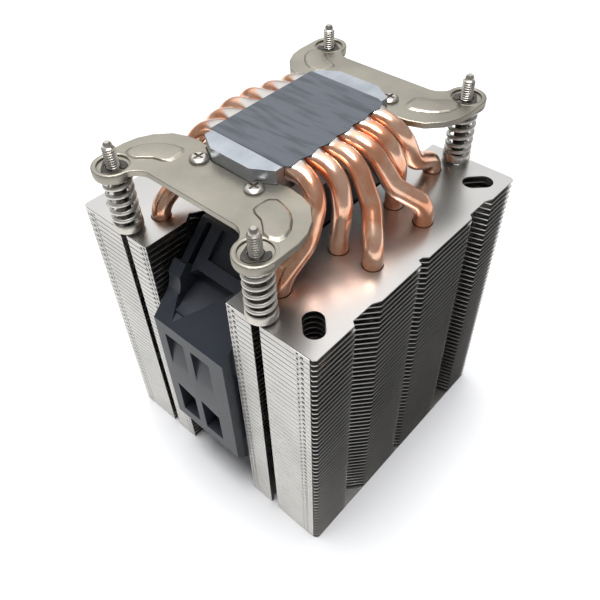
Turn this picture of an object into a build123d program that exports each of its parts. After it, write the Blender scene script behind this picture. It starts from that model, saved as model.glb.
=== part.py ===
from build123d import *
import math
import os
from collections import namedtuple

# Tall processor cooler that stands on its fins with the contact face up.
# X runs along the fan axis, Y across it, Z up from the surface it rests on.
os.makedirs("parts", exist_ok=True)

# ---- Fin stacks ----
STACK_HEIGHT = 103.8
STACK_DEPTH = 100.0
STACK_WIDTH = 31.6
FIN_COUNT = 13
FIN_THICKNESS = 0.4
FIN_CHAMFER = 1.4
FLANGE_THICKNESS = 0.4
FLANGE_SETBACK = 1.6
PASSAGE_WIDTH = 3.4
PASSAGE_RADIUS = 3.45
ACCESS_SPACING = 81.0
ACCESS_LENGTH = 10.0
ACCESS_WIDTH = 6.3
FRONT_NOTCH = (-33.4, -28.6, -22.0)
MIDDLE_NOTCH = (-3.0, -1.0, 0.9)
REAR_NOTCH = (24.0, 34.4, 36.0)
NOTCH_DEPTH = 4.8
MIDDLE_NOTCH_DEPTH = 2.2

# ---- Heat pipes ----
PIPE_DIAMETER = 6.0
PIPE_PITCH = 7.15
PIPE_SIDES = 8
PIPE_RUN = 9.8
PIPE_END_GAP = 0.6
BEND_RADII = (9.0, 9.0, 7.0)
BEND_STEPS = 2
INNER_INSET, INNER_OFFSET, INNER_RISE = 21.1, 12.5, 6.5
MIDDLE_INSET, MIDDLE_OFFSET, MIDDLE_RISE = 9.5, 13.5, 4.7
OUTER_INSET, OUTER_OFFSET, OUTER_RISE = 8.1, 37.0, 3.9
LAND_WIDTH = 6.9
LAND_DEPTH = 3.5
LAND_LENGTH = 27.0
LAND_TAPER = 2.0

# ---- Base block ----
CONTACT_RISE = 27.4
BLOCK_LENGTH = 27.6
BLOCK_END = 28.2
BLOCK_CORNER = (6.4, 3.7)
FLANGE_LENGTH = 31.0
BASE_WIDTH = 70.0
BASE_DROP = 13.2
BRACKET_DROP = 6.7

# ---- Mounting brackets and their screws; the lobe, side and pads lie from the spring screw ----
BRACKET_THICKNESS = 2.0
BRACKET_OUTER_STEP = 3.6
BRACKET_WAIST = 17.4
BRACKET_INNER = 23.9
BRACKET_LOBE = (0.9, -18.6)
BRACKET_SIDE = 9.0
EAR_RADIUS = 6.2
EAR_THICKNESS = 3.3
EAR_STEP = 0.2
EAR_BLEND = 5.2
RECESS_RADIUS = 4.9
RECESS_DEPTH = 0.8
PAD_HEIGHT = 0.5
PAD_TAPER = 40.0
PAD_CORNERS = (
    (-12.1, -12.4),
    (-11.1, -17.2),
    (-9.0, -18.3),
    (-2.6, -16.2),
    (1.2, -12.4),
    (2.7, -7.6),
    (0.6, -5.3),
    (-3.2, -6.0),
    (-6.4, -9.0),
)
BRACKET_SCREW_SPACING_X = 21.6
BRACKET_SCREW_SPACING_Y = 60.0
BRACKET_SCREW_RADIUS = 1.4
BRACKET_SCREW_LENGTH = 6.0
BRACKET_HEAD_RADIUS = 3.0
BRACKET_HEAD_HEIGHT = 1.8

# ---- Spring screws ----
SCREW_SPACING_X = 56.0
SCREW_SPACING_Y = 94.0
SCREW_RADIUS = 2.0
SCREW_STANDOUT = 2.9
THREAD_RELIEF = 0.4
GROOVE_RADIUS = 1.6
HEAD_RADIUS = 4.6
HEAD_HEIGHT = 3.1
HEAD_GAP = 0.7
HEAD_SIDES = 16
SOCKET_RADIUS = 2.0
SOCKET_DEPTH = 1.6
SPRING_RADIUS = 4.5
SPRING_WIRE = 1.2
CLIP_RADIUS = 4.2
CLIP_THICKNESS = 0.8
CLIP_MOUTH = 2.4

# ---- Fan ----
FAN_WIDTH = 31.6
FAN_DEPTH = 108.0
FAN_LIFT = 0.3
FAN_HEIGHT = STACK_HEIGHT - 2 * FAN_LIFT
FAN_CORNER = 25.5
FIN_GAP = 1.3
BORE_RIM = 2.3
BORE_RADIUS = FAN_HEIGHT / 2 - BORE_RIM
BORE_SIDES = 40
BARREL_WALL = 1.8
WINDOW_WIDTH = 8.5
WINDOW_HEIGHT = 42.0
WINDOW_CENTRES = (-7.35, 4.65)
WINDOW_CROWN = 0.28
POCKET_TOP = (5.4, 8.6)
BAR_WIDTH = 2.8
GROOVE_WIDTH = 2.2
GROOVE_DEPTH = 3.0
CORNER_RIM = 0.8
CORNER_RIB_WIDTH = 4.3
UPPER_RECESS_LENGTH = 10.1
UPPER_RECESS_MARGIN = 3.9
UPPER_RECESS_DEPTH = 1.6
WEDGE_MARGIN = 2.1
WEDGE_INSET = 2.4
WEDGE_REACH = 18.8
WEDGE_DEPTH = 6.0
WEDGE_TILT = 21.0
BOSS_WIDTH = 5.4
BOSS_HEIGHT = 3.4
BOSS_TOP = 4.8
BOSS_FOOT = 10.0
HUB_RADIUS = 20.0
HUB_LENGTH = 24.0
BLADE_COUNT = 7
BLADE_THICKNESS = 1.4
BLADE_CHORD = 25.0
BLADE_ANGLE = 48.0
BLADE_ROOT_DEPTH = 1.5
TIP_CLEARANCE = 1.0
SHAFT_RADIUS = 1.5
SHAFT_PRESS = 0.02
HUB_CAP = 3.0
LOCATING_RIB = (3.0, 12.0)
LOCATING_RIB_INSET = 2.0
LOCATING_RIB_RISE = 24.0
MOTOR_BASE_THICKNESS = 3.6
BEARING_RADIUS = 5.0
STRUT_WIDTH = 4.0
STRUT_COUNT = 4
STRUT_ROOT = 1.0
BEARING_FLOOR = 1.0
END_PLAY = 0.6

# ---- Clearances ----
SEAT = 0.1
PIPE_CLEARANCE = 0.15
SCREW_CLEARANCE = 0.25
RUNNING_CLEARANCE = 0.05
STOP_CLEARANCE = 0.3

# ---- Sides of small round pieces and holes ----
SMALL_SIDES = 12
TINY_SIDES = 6

# ---- Levels and edges that follow from the sizes above ----
pipe_radius = PIPE_DIAMETER / 2
contact_z = STACK_HEIGHT + CONTACT_RISE
pipe_z = contact_z - pipe_radius
channel_z = contact_z - LAND_DEPTH - SEAT
bracket_bottom = contact_z - BRACKET_DROP
bracket_top = bracket_bottom + BRACKET_THICKNESS
ear_bottom = bracket_top - EAR_THICKNESS
base_bottom = contact_z - BASE_DROP
head_bottom = STACK_HEIGHT + HEAD_GAP
head_top = head_bottom + HEAD_HEIGHT
clip_bottom = bracket_top - RECESS_DEPTH
clip_top = clip_bottom + CLIP_THICKNESS
thread_bottom = clip_top + THREAD_RELIEF
screw_tip = contact_z + SCREW_STANDOUT

stack_inner = FAN_WIDTH / 2 + FIN_GAP
stack_outer = stack_inner + STACK_WIDTH
stack_middle = stack_inner + STACK_WIDTH / 2
channel_half = 2.5 * PIPE_PITCH + LAND_WIDTH / 2 + SEAT
block_corner_x = BLOCK_LENGTH / 2 - BLOCK_CORNER[0]
block_corner_y = BLOCK_END - BLOCK_CORNER[1]
screw_x = SCREW_SPACING_X / 2
screw_y = SCREW_SPACING_Y / 2
bracket_outer = screw_y - BRACKET_OUTER_STEP
bracket_screw_x = BRACKET_SCREW_SPACING_X / 2
bracket_screw_y = BRACKET_SCREW_SPACING_Y / 2
plate_depth = STACK_DEPTH - 2 * FLANGE_THICKNESS
fan_z = FAN_LIFT + FAN_HEIGHT / 2
barrel_radius = BORE_RADIUS + BARREL_WALL


def round_about(radius, sides=SMALL_SIDES):
    """Corner radius of a many-sided hole that clears a round bar of this radius."""
    return radius / math.cos(math.pi / sides)


# Each route: lane beside the middle, inset of the hole from the fins' inner edge, distance
# of the hole from the middle, height of the lower bend above the fins, and how far along
# its way across, out and down the middle bend lies.
Route = namedtuple("Route", "lane inset offset rise across out down")
ROUTES = (
    Route(0.5, INNER_INSET, INNER_OFFSET, INNER_RISE, 0.55, 0.22, 0.61),
    Route(1.5, MIDDLE_INSET, MIDDLE_OFFSET, MIDDLE_RISE, 1.2, 0.75, 0.50),
    Route(2.5, OUTER_INSET, OUTER_OFFSET, OUTER_RISE, 0.87, 0.37, 0.73),
)
LANES = tuple((side, route) for side in (-1, 1) for route in ROUTES)


def route_points(side, route):
    """Points from the middle of the base to the closed end of one leg of a pipe."""
    y_start = side * route.lane * PIPE_PITCH
    first = Vector(BLOCK_LENGTH / 2 + PIPE_RUN, y_start, pipe_z)
    last = Vector(stack_inner + route.inset, side * route.offset, STACK_HEIGHT + route.rise)
    way = last - first
    middle = first + Vector(route.across * way.X, route.out * way.Y, route.down * way.Z)
    path = FilletPolyline(
        (0, y_start, pipe_z),
        first,
        middle,
        last,
        (last.X, last.Y, PIPE_END_GAP),
        radius=BEND_RADII,
    )
    points = [path @ 0]
    for edge in path.edges():
        steps = BEND_STEPS if edge.geom_type == GeomType.CIRCLE else 1
        points += [edge @ (step / steps) for step in range(1, steps + 1)]
    return points


def save(builder, name):
    """Label a finished piece and write it as a STEP file."""
    builder.part.label = name
    export_step(builder.part, f"parts/{name}.step")


# ---- Base block: flange under a raised block whose ends narrow between the bracket screws ----
with BuildPart() as base_block:
    with BuildSketch(Plane.XY.offset(base_bottom)):
        Rectangle(FLANGE_LENGTH, BASE_WIDTH)
    extrude(amount=bracket_bottom - base_bottom)
    with BuildSketch(Plane.XY.offset(bracket_bottom)):
        with BuildLine():
            Polyline(
                (0, BLOCK_END),
                (block_corner_x, BLOCK_END),
                (BLOCK_LENGTH / 2, block_corner_y),
                (BLOCK_LENGTH / 2, 0),
            )
            mirror(about=Plane.XZ)
            mirror(about=Plane.YZ)
        make_face()
    extrude(amount=contact_z - bracket_bottom)
    with BuildSketch(Plane.XY.offset(channel_z)):
        Rectangle(FLANGE_LENGTH, 2 * channel_half)
    extrude(amount=LAND_DEPTH + SEAT, mode=Mode.SUBTRACT)
    with BuildSketch(Plane.YZ.offset(-FLANGE_LENGTH / 2)):
        with Locations((0, pipe_z)):
            with GridLocations(PIPE_PITCH, 0, 6, 1):
                RegularPolygon(
                    round_about(pipe_radius + SEAT, PIPE_SIDES), PIPE_SIDES, rotation=180 / PIPE_SIDES
                )
    extrude(amount=FLANGE_LENGTH, mode=Mode.SUBTRACT)
    with BuildSketch(Plane.XY.offset(bracket_bottom)):
        with GridLocations(BRACKET_SCREW_SPACING_X, BRACKET_SCREW_SPACING_Y, 2, 2):
            RegularPolygon(round_about(BRACKET_SCREW_RADIUS + SEAT, TINY_SIDES), TINY_SIDES)
    extrude(amount=-(BRACKET_SCREW_LENGTH - BRACKET_THICKNESS + SEAT), mode=Mode.SUBTRACT)
save(base_block, "base_block")

# ---- Six U-shaped heat pipes, pressed flat where they meet the processor ----
for number, (side, route) in enumerate(LANES, start=1):
    lane_y = side * route.lane * PIPE_PITCH
    points = route_points(side, route)
    with BuildPart() as heat_pipe:
        with BuildLine():
            Polyline(*points)
        with BuildSketch(Plane(origin=points[0], x_dir=(0, 1, 0), z_dir=(1, 0, 0))):
            RegularPolygon(pipe_radius, PIPE_SIDES, rotation=180 / PIPE_SIDES)
        sweep(transition=Transition.RIGHT)
        mirror(about=Plane.YZ)
        with BuildSketch(Plane.XZ.offset(-lane_y - LAND_WIDTH / 2)):
            Polygon(
                (-LAND_LENGTH / 2, contact_z),
                (LAND_LENGTH / 2, contact_z),
                (LAND_LENGTH / 2 + LAND_TAPER, contact_z - LAND_DEPTH),
                (-LAND_LENGTH / 2 - LAND_TAPER, contact_z - LAND_DEPTH),
                align=None,
            )
        extrude(amount=LAND_WIDTH)
    save(heat_pipe, f"heat_pipe_{number}")

# ---- Fin stacks: level plates on the pipes, held apart by their folded front and rear flanges ----
fin_pitch = (STACK_HEIGHT - FIN_THICKNESS) / (FIN_COUNT - 1)
fin_levels = [Plane.XY.offset(index * fin_pitch) for index in range(FIN_COUNT)]
pipe_hole_radius = round_about(pipe_radius + PIPE_CLEARANCE, TINY_SIDES)
pipe_holes = [(stack_inner + route.inset, side * route.offset) for side, route in LANES]
notches = ((FRONT_NOTCH, NOTCH_DEPTH), (MIDDLE_NOTCH, MIDDLE_NOTCH_DEPTH), (REAR_NOTCH, NOTCH_DEPTH))
passage_places = [(screw_x, screw_y), (screw_x, -screw_y)]

with BuildPart() as fin_stack_right:
    with BuildSketch(*fin_levels):
        with Locations((stack_middle, 0)):
            plate = Rectangle(STACK_WIDTH, plate_depth)
        chamfer(plate.vertices().group_by(Axis.X)[-1], FIN_CHAMFER)
        with Locations(*passage_places):
            Rectangle(2 * PASSAGE_RADIUS, 2 * PASSAGE_RADIUS, mode=Mode.SUBTRACT)
        for side in (-1, 1):
            with Locations(Location((ACCESS_SPACING / 2, side * ACCESS_SPACING / 2), side * 45)):
                Rectangle(ACCESS_LENGTH, ACCESS_WIDTH, mode=Mode.SUBTRACT)
        for (start, apex, end), depth in notches:
            Polygon(
                (stack_outer, start),
                (stack_outer - depth, apex),
                (stack_outer, end),
                align=None,
                mode=Mode.SUBTRACT,
            )
        with Locations(*pipe_holes):
            RegularPolygon(pipe_hole_radius, TINY_SIDES, mode=Mode.SUBTRACT)
    extrude(amount=FIN_THICKNESS)
save(fin_stack_right, "fin_stack_right")

with BuildPart() as fin_stack_left:
    mirror(fin_stack_right.part, about=Plane.YZ)
save(fin_stack_left, "fin_stack_left")

with BuildPart() as fin_flanges_right:
    with BuildSketch(Plane.XY):
        with Locations((stack_middle - FLANGE_SETBACK / 2, 0)):
            with GridLocations(0, STACK_DEPTH - FLANGE_THICKNESS, 1, 2):
                Rectangle(STACK_WIDTH - FLANGE_SETBACK, FLANGE_THICKNESS)
        with Locations(*passage_places):
            Rectangle(PASSAGE_WIDTH, SCREW_SPACING_Y, mode=Mode.SUBTRACT)
    extrude(amount=STACK_HEIGHT)
save(fin_flanges_right, "fin_flanges_right")

with BuildPart() as fin_flanges_left:
    mirror(fin_flanges_right.part, about=Plane.YZ)
save(fin_flanges_left, "fin_flanges_left")

# ---- Stamped brackets with a thick round ear at each end ----
with BuildPart() as bracket_rear:
    with BuildSketch(Plane.XY.offset(bracket_bottom)) as plate:
        with BuildLine():
            Polyline(
                (0, bracket_outer),
                (0, BLOCK_END + SEAT),
                (block_corner_x + SEAT, BLOCK_END + SEAT),
                (BLOCK_LENGTH / 2 + SEAT, block_corner_y + SEAT),
                (BRACKET_WAIST, BRACKET_INNER),
            )
            ThreePointArc(
                (BRACKET_WAIST, BRACKET_INNER),
                (screw_x + BRACKET_LOBE[0], screw_y + BRACKET_LOBE[1]),
                (screw_x + EAR_RADIUS, screw_y - BRACKET_SIDE),
            )
            Polyline(
                (screw_x + EAR_RADIUS, screw_y - BRACKET_SIDE),
                (screw_x + EAR_RADIUS, screw_y),
                (screw_x, screw_y),
                (screw_x, bracket_outer),
                (0, bracket_outer),
            )
        make_face()
        with Locations((screw_x, screw_y)):
            Circle(EAR_RADIUS)
        blend = plate.vertices().filter_by(
            lambda corner: abs(corner.Y - bracket_outer) < 0.01 and corner.X > 1
        )
        fillet(blend, EAR_BLEND)
        mirror(about=Plane.YZ)
    extrude(amount=BRACKET_THICKNESS)
    with BuildSketch(Plane.XY.offset(bracket_top)):
        Polygon(*[(screw_x + x, screw_y + y) for x, y in PAD_CORNERS], align=None)
        mirror(about=Plane.YZ)
    extrude(amount=PAD_HEIGHT, taper=PAD_TAPER)
    with BuildSketch(Plane.XY.offset(ear_bottom)):
        with Locations((screw_x, screw_y), (-screw_x, screw_y)):
            RegularPolygon(EAR_RADIUS - EAR_STEP, SMALL_SIDES)
    extrude(amount=bracket_bottom - ear_bottom)
    with BuildSketch(Plane.XY.offset(clip_bottom)):
        with Locations((screw_x, screw_y), (-screw_x, screw_y)):
            RegularPolygon(round_about(RECESS_RADIUS), SMALL_SIDES)
    extrude(amount=RECESS_DEPTH, mode=Mode.SUBTRACT)
    with BuildSketch(Plane.XY.offset(ear_bottom)):
        with Locations((screw_x, screw_y), (-screw_x, screw_y)):
            RegularPolygon(round_about(SCREW_RADIUS + SCREW_CLEARANCE), SMALL_SIDES)
    extrude(amount=EAR_THICKNESS, mode=Mode.SUBTRACT)
    with BuildSketch(Plane.XY.offset(bracket_bottom)):
        with Locations((bracket_screw_x, bracket_screw_y), (-bracket_screw_x, bracket_screw_y)):
            RegularPolygon(round_about(BRACKET_SCREW_RADIUS + SEAT, TINY_SIDES), TINY_SIDES)
    extrude(amount=BRACKET_THICKNESS, mode=Mode.SUBTRACT)
save(bracket_rear, "bracket_rear")

with BuildPart() as bracket_front:
    mirror(bracket_rear.part, about=Plane.XZ)
save(bracket_front, "bracket_front")

# ---- Screws that hold the brackets to the base ----
corners = [(across, along) for along in (-1, 1) for across in (-1, 1)]
for number, (across, along) in enumerate(corners, start=1):
    place = (across * bracket_screw_x, along * bracket_screw_y)
    with BuildPart() as bracket_screw:
        with BuildSketch(Plane.XY.offset(bracket_top - BRACKET_SCREW_LENGTH)):
            with Locations(place):
                RegularPolygon(BRACKET_SCREW_RADIUS, TINY_SIDES)
        extrude(amount=BRACKET_SCREW_LENGTH)
        with BuildSketch(Plane.XY.offset(bracket_top)):
            with Locations(place):
                RegularPolygon(BRACKET_HEAD_RADIUS, SMALL_SIDES)
        extrude(amount=BRACKET_HEAD_HEIGHT)
    save(bracket_screw, f"bracket_screw_{number}")

# ---- Spring screws, each with its spring below the ear and its clip above ----
for number, (across, along) in enumerate(corners, start=1):
    place = (across * screw_x, along * screw_y)
    with BuildPart() as spring_screw:
        with BuildSketch(Plane.XY.offset(head_bottom)):
            with Locations(place):
                RegularPolygon(HEAD_RADIUS, HEAD_SIDES)
        extrude(amount=HEAD_HEIGHT)
        with BuildSketch(Plane.XY.offset(head_bottom)):
            with Locations(place):
                RegularPolygon(SOCKET_RADIUS, 6)
        extrude(amount=SOCKET_DEPTH, mode=Mode.SUBTRACT)
        with BuildSketch(Plane.XY.offset(head_top)):
            with Locations(place):
                RegularPolygon(SCREW_RADIUS, SMALL_SIDES)
        extrude(amount=clip_bottom - head_top)
        with BuildSketch(Plane.XY.offset(clip_bottom)):
            with Locations(place):
                RegularPolygon(GROOVE_RADIUS, SMALL_SIDES)
        extrude(amount=thread_bottom - clip_bottom)
        with BuildSketch(Plane.XY.offset(thread_bottom)):
            with Locations(place):
                Circle(SCREW_RADIUS)
        extrude(amount=screw_tip - thread_bottom)
    save(spring_screw, f"spring_screw_{number}")

    with BuildPart() as spring:
        with BuildSketch(Plane.XY.offset(head_top)):
            with Locations(place):
                RegularPolygon(SPRING_RADIUS, SMALL_SIDES)
                RegularPolygon(SPRING_RADIUS - SPRING_WIRE, SMALL_SIDES, mode=Mode.SUBTRACT)
        extrude(amount=ear_bottom - head_top)
    save(spring, f"spring_{number}")

    with BuildPart() as retaining_clip:
        with BuildSketch(Plane.XY.offset(clip_bottom)):
            with Locations(place):
                RegularPolygon(CLIP_RADIUS, SMALL_SIDES)
                RegularPolygon(round_about(GROOVE_RADIUS + SEAT), SMALL_SIDES, mode=Mode.SUBTRACT)
            with Locations((place[0], place[1] + along * CLIP_RADIUS / 2)):
                Rectangle(CLIP_MOUTH, CLIP_RADIUS, mode=Mode.SUBTRACT)
        extrude(amount=CLIP_THICKNESS)
    save(retaining_clip, f"retaining_clip_{number}")

# ---- Fan casing: eight-sided frame round a barrel, ribbed and pocketed at its corners ----
half_depth = FAN_DEPTH / 2
half_width = FAN_WIDTH / 2
corner_z = fan_z + FAN_HEIGHT / 2 - FAN_CORNER
corner_plane = Plane(origin=(0, -half_depth, corner_z), x_dir=(1, 0, 0), z_dir=(0, -1, 1))
slope = FAN_CORNER * math.sqrt(2)

# Places on the sloping corner face: across it, and up it from the front panel
bar_edge = BAR_WIDTH - half_width
rib_edge = bar_edge + GROOVE_WIDTH
upper_edge = rib_edge + CORNER_RIB_WIDTH
upper_width = half_width - UPPER_RECESS_MARGIN - upper_edge
upper_top = slope - CORNER_RIM
upper_foot = upper_top - UPPER_RECESS_LENGTH
rib_foot = upper_foot - CORNER_RIB_WIDTH
wedge_foot = (rib_edge + WEDGE_INSET, WEDGE_MARGIN)
wedge_end = (rib_edge + WEDGE_REACH, rib_foot)
wedge_floor = Plane(
    origin=corner_plane.from_local_coords(wedge_foot),
    x_dir=corner_plane.from_local_coords(wedge_end) - corner_plane.from_local_coords(wedge_foot),
    z_dir=corner_plane.z_dir,
).rotated((-WEDGE_TILT, 0, 0))

with BuildPart() as wedge_relief:
    with BuildSketch(corner_plane):
        Polygon(
            wedge_foot,
            wedge_end,
            (wedge_foot[0], rib_foot),
            (rib_edge, rib_foot - WEDGE_INSET),
            (rib_edge, rib_foot / 2),
            align=None,
        )
    extrude(amount=-WEDGE_DEPTH)
    split(bisect_by=wedge_floor, keep=Keep.TOP)

with BuildPart() as corner_relief:
    add(wedge_relief.part)
    with BuildSketch(corner_plane):
        with Locations(((bar_edge + rib_edge) / 2, (rib_foot + upper_top) / 2)):
            Rectangle(GROOVE_WIDTH, upper_top - rib_foot)
    extrude(amount=-GROOVE_DEPTH)
    with BuildSketch(corner_plane):
        with Locations((upper_edge, upper_foot)):
            Rectangle(upper_width, UPPER_RECESS_LENGTH, align=Align.MIN)
    extrude(amount=-UPPER_RECESS_DEPTH)
    mirror(about=Plane.XZ)
    mirror(about=Plane.XY.offset(fan_z))

with BuildPart() as corner_bosses:
    with BuildSketch(Plane(origin=(-half_width, -half_depth, corner_z), x_dir=(0, 1, 1), z_dir=(1, 0, 0))):
        with BuildLine():
            Polyline(
                (rib_foot - BOSS_FOOT, 0),
                (rib_foot - BOSS_FOOT, -BOSS_HEIGHT / 2),
                (rib_foot, -BOSS_HEIGHT / 2),
                (rib_foot, BOSS_HEIGHT),
                (rib_foot - BOSS_TOP, BOSS_HEIGHT),
            )
            ThreePointArc(
                (rib_foot - BOSS_TOP, BOSS_HEIGHT),
                (rib_foot - (BOSS_TOP + BOSS_FOOT) / 2, BOSS_HEIGHT / 3),
                (rib_foot - BOSS_FOOT, 0),
            )
        make_face()
    extrude(amount=BOSS_WIDTH)
    mirror(about=Plane.XZ)
    mirror(about=Plane.XY.offset(fan_z))

with BuildPart() as window_relief:
    with BuildSketch(Plane.XZ.offset(half_depth)):
        with Locations(*[(x, fan_z) for x in WINDOW_CENTRES]):
            Rectangle(WINDOW_WIDTH, WINDOW_HEIGHT)
    extrude(amount=-FAN_CORNER)
    with BuildSketch(Plane.YZ.offset(-FAN_WIDTH)):
        with Locations((0, fan_z)):
            Circle(half_depth + WINDOW_CROWN)
    extrude(amount=2 * FAN_WIDTH, mode=Mode.SUBTRACT)

with BuildPart() as pocket_relief:
    with BuildSketch(Plane.XZ.offset(half_depth)):
        for x in WINDOW_CENTRES:
            Polygon(
                (x - WINDOW_WIDTH / 2, fan_z - WINDOW_HEIGHT / 2),
                (x + WINDOW_WIDTH / 2, fan_z - WINDOW_HEIGHT / 2),
                (x + WINDOW_WIDTH / 2, fan_z - POCKET_TOP[1]),
                (x - WINDOW_WIDTH / 2, fan_z - POCKET_TOP[0]),
                align=None,
            )
    extrude(amount=-FAN_CORNER)
    with BuildSketch(Plane.YZ.offset(-FAN_WIDTH)):
        with Locations((0, fan_z)):
            Circle(barrel_radius)
    extrude(amount=2 * FAN_WIDTH, mode=Mode.SUBTRACT)

with BuildPart() as fan_casing:
    with BuildSketch(Plane.YZ.offset(-half_width)):
        with Locations((0, fan_z)):
            frame = Rectangle(FAN_DEPTH, FAN_HEIGHT)
        chamfer(frame.vertices(), FAN_CORNER)
    extrude(amount=FAN_WIDTH)
    add(corner_bosses.part)
    add(corner_relief.part, mode=Mode.SUBTRACT)
    for relief in (window_relief, pocket_relief):
        add(relief.part, mode=Mode.SUBTRACT)
        mirror(relief.part, about=Plane.XZ, mode=Mode.SUBTRACT)
    with BuildSketch(Plane.YZ.offset(STOP_CLEARANCE - stack_inner)):
        with Locations((0, fan_z)):
            with GridLocations(STACK_DEPTH - 2 * LOCATING_RIB_INSET, 2 * LOCATING_RIB_RISE, 2, 2):
                Rectangle(*LOCATING_RIB)
    extrude(amount=2 * (stack_inner - STOP_CLEARANCE))
    with BuildSketch(Plane.YZ.offset(-half_width)):
        with Locations((0, fan_z)):
            RegularPolygon(round_about(BORE_RADIUS, BORE_SIDES), BORE_SIDES)
    extrude(amount=FAN_WIDTH, mode=Mode.SUBTRACT)
    with BuildSketch(Plane.YZ.offset(-half_width)):
        with Locations((0, fan_z)):
            Circle(HUB_RADIUS)
            with PolarLocations((HUB_RADIUS + BORE_RADIUS) / 2, STRUT_COUNT, start_angle=45):
                Rectangle(BORE_RADIUS - HUB_RADIUS + 2 * STRUT_ROOT, STRUT_WIDTH)
    extrude(amount=MOTOR_BASE_THICKNESS)
    with BuildSketch(Plane.YZ.offset(-half_width)):
        with Locations((0, fan_z)):
            Circle(BEARING_RADIUS)
    extrude(amount=MOTOR_BASE_THICKNESS + END_PLAY)
    with BuildSketch(Plane.YZ.offset(BEARING_FLOOR - half_width)):
        with Locations((0, fan_z)):
            Circle(SHAFT_RADIUS + RUNNING_CLEARANCE)
    extrude(amount=MOTOR_BASE_THICKNESS, mode=Mode.SUBTRACT)
save(fan_casing, "fan_casing")

# ---- Fan rotor: closed hub with swept blades, on a shaft ----
hub_back = MOTOR_BASE_THICKNESS + 2 * END_PLAY - half_width
blade_half = (BLADE_CHORD * math.sin(math.radians(BLADE_ANGLE)) + BLADE_THICKNESS) / 2
blade_tip = math.sqrt((BORE_RADIUS - TIP_CLEARANCE) ** 2 - blade_half**2)
shaft_back = BEARING_FLOOR + END_PLAY - half_width
with BuildPart() as blade:
    with BuildSketch(Plane.XY.offset(fan_z + HUB_RADIUS - BLADE_ROOT_DEPTH)):
        with Locations((hub_back + HUB_LENGTH / 2, 0)):
            Rectangle(BLADE_CHORD, BLADE_THICKNESS, rotation=BLADE_ANGLE)
    extrude(amount=blade_tip - HUB_RADIUS + BLADE_ROOT_DEPTH)

with BuildPart() as fan_impeller:
    with BuildSketch(Plane.YZ.offset(hub_back)):
        with Locations((0, fan_z)):
            Circle(HUB_RADIUS)
    extrude(amount=HUB_LENGTH)
    rotor_axis = Axis((0, 0, fan_z), (1, 0, 0))
    for index in range(BLADE_COUNT):
        add(blade.part.rotate(rotor_axis, index * 360 / BLADE_COUNT))
    with BuildSketch(Plane.YZ.offset(hub_back)):
        with Locations((0, fan_z)):
            Circle(SHAFT_RADIUS + SHAFT_PRESS)
    extrude(amount=HUB_LENGTH - HUB_CAP, mode=Mode.SUBTRACT)
save(fan_impeller, "fan_impeller")

with BuildPart() as fan_shaft:
    with BuildSketch(Plane.YZ.offset(shaft_back)):
        with Locations((0, fan_z)):
            Circle(SHAFT_RADIUS)
    extrude(amount=hub_back + HUB_LENGTH - HUB_CAP - shaft_back)
save(fan_shaft, "fan_shaft")
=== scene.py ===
"""Looks of a tall server processor cooler that stands on its fins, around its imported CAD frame."""

import logging
import math
from collections.abc import Iterable, Sequence
from dataclasses import dataclass, field
from enum import Enum

import bmesh
import bpy
from mathutils import Matrix, Vector


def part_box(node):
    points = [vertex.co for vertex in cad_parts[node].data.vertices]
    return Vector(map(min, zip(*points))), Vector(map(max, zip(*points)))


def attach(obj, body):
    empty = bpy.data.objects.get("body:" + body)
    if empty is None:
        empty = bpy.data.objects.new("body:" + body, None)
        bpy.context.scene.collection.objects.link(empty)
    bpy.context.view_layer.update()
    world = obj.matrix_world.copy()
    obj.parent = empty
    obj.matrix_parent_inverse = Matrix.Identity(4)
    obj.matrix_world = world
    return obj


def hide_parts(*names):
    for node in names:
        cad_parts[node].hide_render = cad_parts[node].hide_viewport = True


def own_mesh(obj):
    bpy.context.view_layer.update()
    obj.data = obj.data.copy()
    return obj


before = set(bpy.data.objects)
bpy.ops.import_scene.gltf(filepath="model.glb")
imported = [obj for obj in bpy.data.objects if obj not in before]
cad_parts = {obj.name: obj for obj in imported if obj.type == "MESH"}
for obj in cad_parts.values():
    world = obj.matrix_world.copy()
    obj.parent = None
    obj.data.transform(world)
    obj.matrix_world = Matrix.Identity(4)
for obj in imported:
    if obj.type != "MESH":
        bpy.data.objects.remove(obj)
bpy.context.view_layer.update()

logging.basicConfig(level=logging.INFO, format="%(message)s")
log = logging.getLogger("cooler")

MM = 0.001
ROOT = "cooler"
WELD = 1e-7
BEVEL_ANGLE = 38.0
LANE_PITCH = 7.15

Mesh = bmesh.types.BMesh
Tree = bpy.types.NodeTree
Socket = bpy.types.NodeSocket
Pair = tuple[float, float]
Triple = tuple[float, float, float]
Corners = tuple[Pair, ...]


class Side(Enum):
    """Which half of the cooler a piece belongs to, as the sign of its place."""

    MINUS = -1
    PLUS = 1


# ---------------------------------------------------------------- small mesh helpers


def metres(*values: float) -> Vector:
    """A vector in metres from lengths in millimetres."""
    return Vector([value * MM for value in values])


def finish_mesh(mesh: Mesh, name: str, material: bpy.types.Material, body: str,
                smooth: float = 35.0) -> bpy.types.Object:
    """Turn a bmesh into an object that rides on a body.

    Args:
        mesh: The bmesh, freed here.
        name: Name of the new object.
        material: Its material.
        body: CAD body that it moves with.
        smooth: Angle in degrees under which edges are shaded smooth.

    Returns:
        The new object, at the origin.
    """
    bmesh.ops.remove_doubles(mesh, verts=mesh.verts, dist=WELD)
    bmesh.ops.recalc_face_normals(mesh, faces=mesh.faces)
    limit = math.radians(smooth)
    for face in mesh.faces:
        face.smooth = True
    for edge in mesh.edges:
        edge.smooth = len(edge.link_faces) == 2 and edge.calc_face_angle(0.0) < limit
    data = bpy.data.meshes.new(name)
    mesh.to_mesh(data)
    mesh.free()
    data.materials.append(material)
    piece = bpy.data.objects.new(name, data)
    bpy.context.scene.collection.objects.link(piece)
    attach(piece, body)
    return piece


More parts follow.
